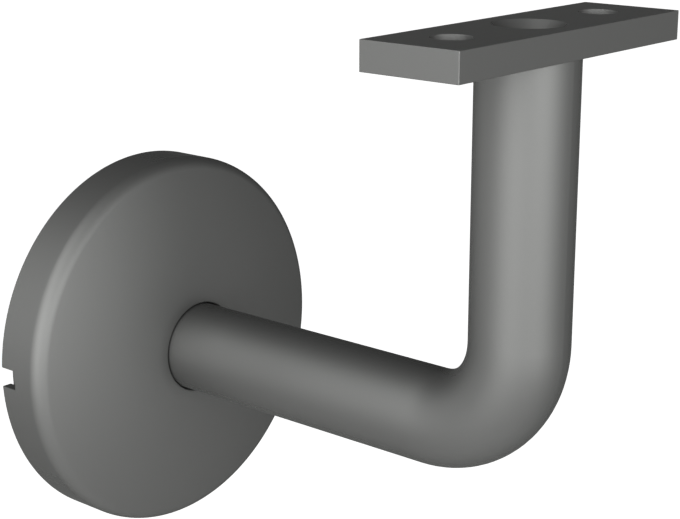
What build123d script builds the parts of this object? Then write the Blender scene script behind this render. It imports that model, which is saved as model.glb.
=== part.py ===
from build123d import *
from math import asin, cos, degrees, radians, sin, sqrt, tan
import os

# Wall bracket for a handrail: a bent round bar with a screw-on saddle plate at its top,
# a wall flange at its foot, and a loose domed cover that hides the flange and its screws.
# X runs along the wall, Y runs into the wall and Z points up.
# The origin is on the bar's axis, in the plane of the wall. All sizes are in millimetres.

# Round bar, bent through a right angle
bar_diameter = 14.0
bend_radius = 14.0  # on the bar's centreline
projection = 74.0  # from the wall to the axis of the upright
rail_height = 57.0  # from the bar's axis at the wall to the underside of the handrail

# Saddle plate that the handrail rests on
saddle_length = 50.0
saddle_width = 15.0
saddle_thickness = 4.0
saddle_edge_radius = 0.1
rail_hole_spacing = 33.0
rail_hole_diameter = 5.5
plug_hole_diameter = 6.0  # through the middle of the plate
countersink_diameter = 10.0  # at the plate's top face
countersink_angle = 90.0

# Plug weld that joins the bar's end to the saddle plate, sunk below the plate's top face
plug_weld_height = 2.3  # at the wall of the countersink
plug_weld_crown = 0.3  # how far its middle rises above that

# Wall flange under the cover
flange_thickness = 4.0
flange_chamfer = 0.5
wall_hole_count = 3
wall_hole_circle = 40.0
wall_hole_diameter = 6.5
lowest_hole_angle = -90.0
bar_seat_clearance = 0.05  # between the bar and the bore of the flange

# Fillet weld round the bar on the front of the flange
flange_weld_leg = 3.0
flange_weld_bulge = 0.3

# Cover, drawn from sheet
cover_diameter = 60.0
cover_wall = 1.5
cover_edge_radius = 2.5
cover_dome_radius = 100.0
cover_headroom = 2.4  # how far the straight rim reaches past the front of the flange
cover_bar_clearance = 0.2
cover_flange_clearance = 0.5
cover_edge_break = 0.2
notch_width = 3.0
notch_depth = 3.0

# Sizes that follow from those above
bar_radius = bar_diameter / 2
saddle_underside = rail_height - saddle_thickness
countersink_slope = tan(radians(countersink_angle / 2))
countersink_depth = (countersink_diameter - plug_hole_diameter) / 2 / countersink_slope
plug_bore_height = saddle_thickness - countersink_depth
cover_radius = cover_diameter / 2
cover_rim_height = flange_thickness + cover_headroom
cover_hole_radius = bar_radius + cover_bar_clearance
flange_radius = cover_radius - cover_wall - cover_flange_clearance
flange_bore_radius = bar_radius + bar_seat_clearance

# Front of the cover: the rounded edge is tangent to the dome, whose centre lies on the bar's axis
edge_centre_x = cover_radius - cover_edge_radius
dome_to_edge = cover_dome_radius - cover_edge_radius
dome_half_angle = degrees(asin(edge_centre_x / dome_to_edge))
dome_centre_y = sqrt(dome_to_edge**2 - edge_centre_x**2) - cover_rim_height


def drilled(diameter, depth, start, direction):
    """Round cutter that starts at a point and runs in a direction."""
    cutter = Plane(start, z_dir=direction) * Cylinder(
        diameter / 2, depth, align=(Align.CENTER, Align.CENTER, Align.MIN)
    )
    return cutter


def arm():
    """Bar from the back of the flange, out from the wall and up to the saddle plate."""
    path = FilletPolyline(
        (0, 0, 0),
        (0, -projection, 0),
        (0, -projection, saddle_underside),
        radius=bend_radius,
    )
    section = Plane(path @ 0, z_dir=path % 0) * Circle(bar_radius)
    return sweep(section, path=path)


def saddle_plate():
    """Flat bar across the top of the upright, with two screw holes and a countersunk middle hole."""
    blank = Pos(0, -projection, saddle_underside) * Box(
        saddle_length,
        saddle_width,
        saddle_thickness,
        align=(Align.CENTER, Align.CENTER, Align.MIN),
    )
    blank = fillet(blank.edges(), saddle_edge_radius)
    half_spacing = rail_hole_spacing / 2
    for x, diameter in (
        (-half_spacing, rail_hole_diameter),
        (0, plug_hole_diameter),
        (half_spacing, rail_hole_diameter),
    ):
        start = (x, -projection, saddle_underside)
        blank -= drilled(diameter, saddle_thickness, start, (0, 0, 1))
    countersink = Pos(0, -projection, saddle_underside + plug_bore_height) * Cone(
        plug_hole_diameter / 2,
        countersink_diameter / 2,
        countersink_depth,
        align=(Align.CENTER, Align.CENTER, Align.MIN),
    )
    return blank - countersink


def plug_weld():
    """Weld metal in the foot of the plate's middle hole, with a crowned top."""
    bore_radius = plug_hole_diameter / 2
    edge_radius = bore_radius + (plug_weld_height - plug_bore_height) * countersink_slope
    top = (0, plug_weld_height + plug_weld_crown)
    outline = Polyline(
        top,
        (0, 0),
        (bore_radius, 0),
        (bore_radius, plug_bore_height),
        (edge_radius, plug_weld_height),
    )
    outline += TangentArc(top, (edge_radius, plug_weld_height), tangent=(1, 0))
    bead = revolve(Plane.XZ * make_face(outline), Axis.Z)
    return Pos(0, -projection, saddle_underside) * bead


def wall_flange():
    """Round plate that is screwed to the wall, with a bore that the bar is welded into."""
    disc = drilled(2 * flange_radius, flange_thickness, (0, 0, 0), (0, -1, 0))
    front = disc.edges().sort_by(Axis.Y)[0]
    disc = chamfer(front, flange_chamfer)
    disc -= drilled(2 * flange_bore_radius, flange_thickness, (0, 0, 0), (0, -1, 0))
    for index in range(wall_hole_count):
        angle = radians(lowest_hole_angle + 360 * index / wall_hole_count)
        x = wall_hole_circle / 2 * cos(angle)
        z = wall_hole_circle / 2 * sin(angle)
        disc -= drilled(wall_hole_diameter, flange_thickness, (x, 0, z), (0, -1, 0))
    return disc


def flange_weld():
    """Ring of weld metal in the corner between the bar and the front of the flange."""
    root = (bar_radius, -flange_thickness)
    foot = (bar_radius + flange_weld_leg, -flange_thickness)
    crest = (bar_radius, -flange_thickness - flange_weld_leg)
    outline = Line(root, foot)
    outline += SagittaArc(foot, crest, flange_weld_bulge)
    outline += Line(crest, root)
    return revolve(make_face(outline), Axis.Y)


def cover_section(inset):
    """Half section of the cover from its axis outwards, with the outer surface moved in by inset."""
    radius = cover_radius - inset
    dome = cover_dome_radius - inset
    edge_sweep = 90 - dome_half_angle
    outline = Line((0, 0), (radius, 0))
    outline += Line((radius, 0), (radius, -cover_rim_height))
    outline += CenterArc(
        (edge_centre_x, -cover_rim_height), cover_edge_radius - inset, 0, -edge_sweep
    )
    outline += CenterArc((0, dome_centre_y), dome, -edge_sweep, -dome_half_angle)
    outline += Line((0, dome_centre_y - dome), (0, 0))
    return make_face(outline)


def cover_rosette():
    """Domed cup that slides on the bar, with a notch in its rim for prying it off the wall."""
    cup = revolve(cover_section(0), Axis.Y) - revolve(cover_section(cover_wall), Axis.Y)
    reach = 2 * cover_diameter
    cup -= drilled(2 * cover_hole_radius, reach, (0, 0, 0), (0, -1, 0))
    hole_mouth = cup.edges().filter_by(GeomType.CIRCLE).sort_by(Axis.Y)[0]
    cup = fillet(hole_mouth, cover_edge_break)
    notch = Pos(-cover_radius, 0, 0) * Box(
        4 * cover_wall,
        notch_depth,
        notch_width,
        align=(Align.CENTER, Align.MAX, Align.CENTER),
    )
    return cup - notch


os.makedirs("parts", exist_ok=True)
for shape, node in (
    (arm(), "arm"),
    (saddle_plate(), "saddle_plate"),
    (plug_weld(), "plug_weld"),
    (wall_flange(), "wall_flange"),
    (flange_weld(), "flange_weld"),
    (cover_rosette(), "cover_rosette"),
):
    export_step(shape, f"parts/{node}.step")
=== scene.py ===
from math import acos, cos, pi, radians, sin, tan

import bmesh
import bpy
from mathutils import Matrix, Vector


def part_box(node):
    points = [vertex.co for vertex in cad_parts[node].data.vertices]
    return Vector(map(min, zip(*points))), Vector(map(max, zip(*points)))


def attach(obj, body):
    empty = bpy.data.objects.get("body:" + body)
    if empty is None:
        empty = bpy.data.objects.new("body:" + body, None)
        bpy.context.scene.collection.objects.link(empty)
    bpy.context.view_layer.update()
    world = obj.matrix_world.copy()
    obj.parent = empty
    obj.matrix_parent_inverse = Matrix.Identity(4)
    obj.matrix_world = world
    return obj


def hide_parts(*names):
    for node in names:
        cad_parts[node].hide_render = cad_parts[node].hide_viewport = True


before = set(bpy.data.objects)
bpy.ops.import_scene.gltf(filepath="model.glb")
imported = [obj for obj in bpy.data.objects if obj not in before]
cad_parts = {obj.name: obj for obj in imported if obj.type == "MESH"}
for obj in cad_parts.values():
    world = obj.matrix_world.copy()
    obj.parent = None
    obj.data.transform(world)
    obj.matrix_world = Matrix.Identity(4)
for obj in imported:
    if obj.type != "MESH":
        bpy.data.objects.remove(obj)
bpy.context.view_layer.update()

# Camera, solved from the photograph's outlines, in metres and degrees
CAMERA_PLACE = (-0.17585, -0.19305, 0.08445)
CAMERA_HEADING = 49.347  # from +Y towards +X
CAMERA_DOWN = 15.578
FOCAL_IN_PIXELS = 1644.2
IMAGE_WIDTH = 680
SENSOR_WIDTH = 36.0
CLIP_START = 0.01

# The bracket hangs this far above the floor, as it would beside a flight of stairs
FLOOR_DROP = 0.95
FLOOR_SIZE = 60.0
FLOOR_PAINT = 0.8
FLOOR_GLOW = 0.4
# The sky's light at the horizon, where it meets the floor, and at its top, and the power with
# which it falls between them
SKY_FOOT = 0.48
SKY_TOP = 0.06
SKY_FADE = 3
# Floor and sky are white in a soft patch behind the bracket. Its inner and outer edge lie this
# many degrees from the photograph's line of sight
WHITE_INNER = 17.0
WHITE_OUTER = 27.0

# Lamps: heading from +Y towards +X, height angle and half the angle that the lamp fills, all in
# degrees, and its light on the object
LAMP_DISTANCE = 1.0
LAMPS = {
    "front": (210, 10, 18, 1.24),
    "front_right": (190, 5, 18, 1.37),
    "front_left": (248, 0, 20, 0.91),
    "front_high": (250, 45, 18, 0.75),
    "right_high": (165, 28, 18, 0.36),
    "left": (264, 10, 25, 1.93),
    "left_high": (290, 45, 18, 0.98),
    "rim": (335, 5, 18, 0.54),
}

# Cover, turned again from its lengths in the CAD, in metres, because the CAD mesh's coarser
# facets show in its sheen
COVER_RADIUS = 0.030
COVER_WALL = 0.0015
COVER_EDGE = 0.0025  # radius of the rounded edge between rim and dome
COVER_RIM = 0.0064
COVER_DOME = 0.100
COVER_HOLE = 0.0072
COVER_BREAK = 0.0002  # radius of the hole's broken front edge
NOTCH_WIDTH = 0.003
NOTCH_DEPTH = 0.003
COVER_TURNS = 192
EDGE_STEPS = 24
DOME_STEPS = 12
BREAK_STEPS = 4
SUPPORT = 0.0003  # a ring this far from the rounded edge keeps the rim's shading even
CREASE = 30  # degrees

# Satin metallic powder coat: its colours, and the wavelengths of its texture in metres
COAT = (0.158, 0.160, 0.156)
WELD_COAT = (0.150, 0.152, 0.148)
COAT_SPREAD = 0.025  # how far the colour strays either way
COAT_ROUGHNESS = 0.6
ROUGHNESS_SPREAD = 0.03
EDGE_TINT = 0.15  # keeps the coat as dark at a glancing angle as it is in the photograph
CLOUD = 0.014
GRAIN = 0.00022
GRAIN_SHARE = 0.5  # the clouds have the rest
NOISE_DETAIL = 2.0
PEEL = 0.0009
PEEL_HEIGHT = 0.000008

# Ripples in the weld metal: their height, count round the bar, bow across the bead, pitch across
# the plug, and how far and over what length they waver
RIPPLE_HEIGHT = 0.00005
RIPPLE_COUNT = 34
RIPPLE_BOW = 2.5
RIPPLE_PITCH = 0.0009
WOBBLE = 3.0
WOBBLE_LENGTH = 0.004


def add_camera():
    """Camera at the photograph's place, looking down at the bracket from the front left."""
    data = bpy.data.cameras.new("camera")
    data.sensor_width = SENSOR_WIDTH
    data.lens = FOCAL_IN_PIXELS * SENSOR_WIDTH / IMAGE_WIDTH
    data.clip_start = CLIP_START
    camera = bpy.data.objects.new("camera", data)
    camera.location = CAMERA_PLACE
    camera.rotation_euler = (radians(90 - CAMERA_DOWN), 0, radians(-CAMERA_HEADING))
    bpy.context.scene.collection.objects.link(camera)
    bpy.context.scene.camera = camera


def direction(heading, height):
    """Unit vector at a heading from +Y towards +X, and an angle above the horizon."""
    h, e = radians(heading), radians(height)
    return Vector((sin(h) * cos(e), cos(h) * cos(e), sin(e)))


def add_lamp(name, heading, height, half_angle, light):
    """Round soft lamp that faces the origin and lights a surface there with so much light."""
    data = bpy.data.lights.new(name, "AREA")
    data.shape = "DISK"
    data.size = 2 * LAMP_DISTANCE * tan(radians(half_angle))
    data.energy = pi * LAMP_DISTANCE**2 * light / cos(radians(half_angle)) ** 2
    # With it, rough metal at a glancing angle gets too much light
    data.cycles.use_multiple_importance_sampling = False
    lamp = bpy.data.objects.new(name, data)
    towards = direction(heading, height)
    lamp.location = LAMP_DISTANCE * towards
    lamp.rotation_euler = towards.to_track_quat("Z", "Y").to_euler()
    lamp.visible_camera = False
    bpy.context.scene.collection.objects.link(lamp)


def grey(level):
    """Opaque colour with the same level in each channel."""
    return (level, level, level, 1)


def feed(tree, value, socket):
    """Sets an input to a number or links it to an output."""
    if isinstance(value, (int, float)):
        socket.default_value = value
    else:
        tree.links.new(value, socket)


def maths(tree, operation, *values):
    """Output of a Math node fed by outputs or numbers."""
    node = tree.nodes.new("ShaderNodeMath")
    node.operation = operation
    for index, value in enumerate(values):
        feed(tree, value, node.inputs[index])
    return node.outputs[0]


def vector_maths(tree, operation, place, constant=None):
    """Vector Math node fed by an output and a constant vector."""
    node = tree.nodes.new("ShaderNodeVectorMath")
    node.operation = operation
    tree.links.new(place, node.inputs[0])
    if constant is not None:
        node.inputs[1].default_value = constant
    return node


def split(tree, place):
    """X, Y and Z outputs of a vector."""
    node = tree.nodes.new("ShaderNodeSeparateXYZ")
    tree.links.new(place, node.inputs[0])
    return node.outputs


def white_behind(tree, place, level):
    """Light that rises from a level to white where the photograph looks past the bracket."""
    towards = vector_maths(tree, "NORMALIZE", place).outputs["Vector"]
    sight = direction(CAMERA_HEADING, -CAMERA_DOWN)
    node = tree.nodes.new("ShaderNodeMapRange")
    node.interpolation_type = "SMOOTHSTEP"
    node.inputs["From Min"].default_value = cos(radians(WHITE_OUTER))
    node.inputs["From Max"].default_value = cos(radians(WHITE_INNER))
    match = vector_maths(tree, "DOT_PRODUCT", towards, sight).outputs["Value"]
    tree.links.new(match, node.inputs["Value"])
    feed(tree, level, node.inputs["To Min"])
    return node.outputs[0]


def add_world():
    """Sky that is as pale as the floor at the horizon and dims towards the top."""
    world = bpy.data.worlds.new("world")
    world.use_nodes = True
    # Its light is evenest where only the coat's own rays find it
    world.cycles.sampling_method = "NONE"
    tree = world.node_tree
    place = tree.nodes.new("ShaderNodeTexCoord").outputs["Generated"]
    rise = maths(tree, "MAXIMUM", split(tree, place)["Z"], 0.0)
    fade = maths(tree, "POWER", maths(tree, "SUBTRACT", 1.0, rise), SKY_FADE)
    level = maths(tree, "MULTIPLY_ADD", fade, SKY_FOOT - SKY_TOP, SKY_TOP)
    background = tree.nodes["Background"]
    background.inputs["Color"].default_value = grey(1)
    tree.links.new(white_behind(tree, place, level), background.inputs["Strength"])
    bpy.context.scene.world = world


def add_floor():
    """Pale floor that glows to the camera and in reflections."""
    bpy.ops.mesh.primitive_plane_add(size=FLOOR_SIZE, location=(0, 0, -FLOOR_DROP))
    floor = bpy.context.object
    floor.name = "floor"
    material = bpy.data.materials.new("floor")
    material.use_nodes = True
    # Sampled as a lamp, its light on metal is uneven
    material.cycles.emission_sampling = "NONE"
    tree = material.node_tree
    tree.nodes.clear()
    place = tree.nodes.new("ShaderNodeTexCoord").outputs["Object"]
    below = vector_maths(tree, "ADD", place, (0, 0, -FLOOR_DROP)).outputs["Vector"]
    rays = tree.nodes.new("ShaderNodeLightPath").outputs
    seen = maths(tree, "MAXIMUM", rays["Is Camera Ray"], rays["Is Glossy Ray"])
    seen = maths(tree, "MAXIMUM", seen, rays["Is Transmission Ray"])
    glow = tree.nodes.new("ShaderNodeEmission")
    light = maths(tree, "MULTIPLY", white_behind(tree, below, FLOOR_GLOW), seen)
    tree.links.new(light, glow.inputs["Strength"])
    paint = tree.nodes.new("ShaderNodeBsdfDiffuse")
    paint.inputs["Color"].default_value = grey(FLOOR_PAINT)
    both = tree.nodes.new("ShaderNodeAddShader")
    tree.links.new(paint.outputs[0], both.inputs[0])
    tree.links.new(glow.outputs[0], both.inputs[1])
    out = tree.nodes.new("ShaderNodeOutputMaterial")
    tree.links.new(both.outputs[0], out.inputs["Surface"])
    floor.data.materials.append(material)


def noise(tree, place, wavelength):
    """Factor of a noise texture whose features are about a wavelength across."""
    node = tree.nodes.new("ShaderNodeTexNoise")
    node.inputs["Scale"].default_value = 1 / wavelength
    node.inputs["Detail"].default_value = NOISE_DETAIL
    tree.links.new(place, node.inputs["Vector"])
    return node.outputs["Fac"]


def bump(tree, height, distance, below=None):
    """Normal of a Bump node, on top of another one."""
    node = tree.nodes.new("ShaderNodeBump")
    node.inputs["Distance"].default_value = distance
    tree.links.new(height, node.inputs["Height"])
    if below is not None:
        tree.links.new(below, node.inputs["Normal"])
    return node.outputs["Normal"]


def coat_material(name, colour):
    """Satin metallic powder coat: faint clouds and grain in its colour, and a fine orange peel."""
    material = bpy.data.materials.new(name)
    material.use_nodes = True
    tree = material.node_tree
    shader = tree.nodes["Principled BSDF"]
    shader.inputs["Metallic"].default_value = 1.0
    shader.inputs["Specular Tint"].default_value = grey(EDGE_TINT)
    place = tree.nodes.new("ShaderNodeTexCoord").outputs["Object"]
    grain = noise(tree, place, GRAIN)
    clouds = maths(tree, "MULTIPLY", noise(tree, place, CLOUD), 1 - GRAIN_SHARE)
    shade = maths(tree, "MULTIPLY_ADD", grain, GRAIN_SHARE, clouds)
    mix = tree.nodes.new("ShaderNodeMix")
    mix.data_type = "RGBA"
    mix.inputs["A"].default_value = (*(c * (1 - COAT_SPREAD) for c in colour), 1)
    mix.inputs["B"].default_value = (*(c * (1 + COAT_SPREAD) for c in colour), 1)
    tree.links.new(shade, mix.inputs["Factor"])
    tree.links.new(mix.outputs["Result"], shader.inputs["Base Color"])
    gloss = tree.nodes.new("ShaderNodeMapRange")
    gloss.inputs["To Min"].default_value = COAT_ROUGHNESS - ROUGHNESS_SPREAD
    gloss.inputs["To Max"].default_value = COAT_ROUGHNESS + ROUGHNESS_SPREAD
    tree.links.new(grain, gloss.inputs["Value"])
    tree.links.new(gloss.outputs[0], shader.inputs["Roughness"])
    peel = bump(tree, noise(tree, place, PEEL), PEEL_HEIGHT)
    tree.links.new(peel, shader.inputs["Normal"])
    return material


def add_ripples(material, place, turns):
    """Puts ripples of weld metal, which waver a little, under a material's orange peel."""
    tree = material.node_tree
    waver = maths(tree, "MULTIPLY", noise(tree, place, WOBBLE_LENGTH), WOBBLE)
    height = maths(tree, "SINE", maths(tree, "ADD", turns, waver))
    peel = tree.nodes["Principled BSDF"].inputs["Normal"].links[0].from_node
    tree.links.new(bump(tree, height, RIPPLE_HEIGHT), peel.inputs["Normal"])


def length(tree, first, second):
    """Length of the flat vector with two parts."""
    square = maths(tree, "MULTIPLY_ADD", first, first, maths(tree, "MULTIPLY", second, second))
    return maths(tree, "SQRT", square)


def flange_weld_material():
    """Coat over a ring of weld metal, with bowed ripples that follow one another round the bar."""
    material = coat_material("flange_weld_coat", WELD_COAT)
    tree = material.node_tree
    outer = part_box("flange_weld")[1].x
    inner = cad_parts["arm"].dimensions.x / 2
    place = tree.nodes.new("ShaderNodeTexCoord").outputs["Object"]
    axes = split(tree, place)
    across = maths(tree, "SUBTRACT", length(tree, axes["X"], axes["Z"]), (outer + inner) / 2)
    across = maths(tree, "DIVIDE", across, (outer - inner) / 2)
    bow = maths(tree, "MULTIPLY", maths(tree, "MULTIPLY", across, across), RIPPLE_BOW)
    angle = maths(tree, "ARCTAN2", axes["X"], axes["Z"])
    add_ripples(material, place, maths(tree, "MULTIPLY_ADD", angle, RIPPLE_COUNT, bow))
    return material


def plug_weld_material():
    """Coat over the plug of weld metal, with ripples that spiral in to its middle."""
    material = coat_material("plug_weld_coat", WELD_COAT)
    tree = material.node_tree
    low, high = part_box("plug_weld")
    place = tree.nodes.new("ShaderNodeTexCoord").outputs["Object"]
    centred = vector_maths(tree, "SUBTRACT", place, (low + high) / 2).outputs["Vector"]
    axes = split(tree, centred)
    rings = length(tree, axes["X"], axes["Y"])
    angle = maths(tree, "ARCTAN2", axes["Y"], axes["X"])
    add_ripples(material, place, maths(tree, "MULTIPLY_ADD", rings, 2 * pi / RIPPLE_PITCH, angle))
    return material


def arc(centre, radius, start, end, steps):
    """Points of an arc in a half section, between two angles in radians."""
    angles = (start + (end - start) * step / steps for step in range(steps + 1))
    return [(centre[0] + radius * cos(a), centre[1] + radius * sin(a)) for a in angles]


def cover_section():
    """Half section of the cover, as (distance from the axis, y): up outside, back inside."""
    inner_radius = COVER_RADIUS - COVER_WALL
    straight = SUPPORT - COVER_RIM
    edge = (COVER_RADIUS - COVER_EDGE, -COVER_RIM)
    edge_reach = COVER_DOME - COVER_EDGE
    tangent = -acos(edge[0] / edge_reach)
    dome = (0, edge[1] - edge_reach * sin(tangent))
    mouth_reach = COVER_DOME - COVER_BREAK
    mouth = -acos((COVER_HOLE + COVER_BREAK) / mouth_reach)
    mouth_centre = (COVER_HOLE + COVER_BREAK, dome[1] + mouth_reach * sin(mouth))
    inner_dome = COVER_DOME - COVER_WALL
    inner_mouth = -acos(COVER_HOLE / inner_dome)
    return [
        (COVER_RADIUS, 0),
        (COVER_RADIUS, straight),
        *arc(edge, COVER_EDGE, 0, tangent, EDGE_STEPS),
        *arc(dome, COVER_DOME, tangent, mouth, DOME_STEPS)[1:],
        *arc(mouth_centre, COVER_BREAK, mouth, -pi, BREAK_STEPS)[1:],
        *arc(dome, inner_dome, inner_mouth, tangent, DOME_STEPS),
        *arc(edge, COVER_EDGE - COVER_WALL, tangent, 0, EDGE_STEPS)[1:],
        (inner_radius, straight),
        (inner_radius, 0),
    ]


def mesh_object(name, form):
    """Object with the mesh that was built in a bmesh."""
    mesh = bpy.data.meshes.new(name)
    form.to_mesh(mesh)
    form.free()
    piece = bpy.data.objects.new(name, mesh)
    bpy.context.scene.collection.objects.link(piece)
    return piece


def turned(name, section):
    """Piece whose closed half section is turned about the bar's axis."""
    form = bmesh.new()
    rings = []
    for turn in range(COVER_TURNS):
        angle = 2 * pi * turn / COVER_TURNS
        rings.append([form.verts.new((r * cos(angle), y, r * sin(angle))) for r, y in section])
    for ring, following in zip(rings, rings[1:] + rings[:1]):
        corners = list(zip(ring, following))
        for (a, b), (d, c) in zip(corners, corners[1:] + corners[:1]):
            form.faces.new((a, b, c, d))
    bmesh.ops.recalc_face_normals(form, faces=form.faces)
    return mesh_object(name, form)


def cut_notch(piece):
    """Cuts the pry notch through the rim on the side of -X."""
    low = Vector((-COVER_RADIUS - COVER_WALL, -NOTCH_DEPTH, -NOTCH_WIDTH / 2))
    high = Vector((2 * COVER_WALL - COVER_RADIUS, COVER_WALL / 2, NOTCH_WIDTH / 2))
    form = bmesh.new()
    place = Matrix.Translation((low + high) / 2) @ Matrix.Diagonal((*(high - low), 1))
    bmesh.ops.create_cube(form, size=1, matrix=place)
    cutter = mesh_object("notch_cutter", form)
    cut = piece.modifiers.new("notch", "BOOLEAN")
    cut.operation = "DIFFERENCE"
    cut.solver = "EXACT"
    cut.object = cutter
    depsgraph = bpy.context.evaluated_depsgraph_get()
    whole = piece.data
    piece.data = bpy.data.meshes.new_from_object(piece.evaluated_get(depsgraph))
    piece.modifiers.clear()
    for used in (whole, cutter.data):
        bpy.data.meshes.remove(used)  # takes the cutter's object with it


def add_cover(material):
    """Cover with fine facets in the place of the CAD's."""
    piece = turned("cover_shell", cover_section())
    cut_notch(piece)
    piece.data.shade_smooth()
    piece.data.set_sharp_from_angle(angle=radians(CREASE))
    piece.data.materials.append(material)
    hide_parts("cover_rosette")
    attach(piece, "cover")


def finish_nodes(cover_coat):
    """Gives each CAD node the finish of its slot."""
    bracket_coat = coat_material("bracket_coat", COAT)
    finishes = {
        "arm": bracket_coat,
        "saddle_plate": bracket_coat,
        "wall_flange": bracket_coat,
        "cover_rosette": cover_coat,
        "flange_weld": flange_weld_material(),
        "plug_weld": plug_weld_material(),
    }
    for name, material in finishes.items():
        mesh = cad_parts[name].data
        mesh.materials.clear()
        mesh.materials.append(material)


add_camera()
add_world()
add_floor()
for name, values in LAMPS.items():
    add_lamp(name, *values)
cover_coat = coat_material("cover_coat", COAT)
finish_nodes(cover_coat)
add_cover(cover_coat)
bpy.context.scene.view_settings.view_transform = "Standard"
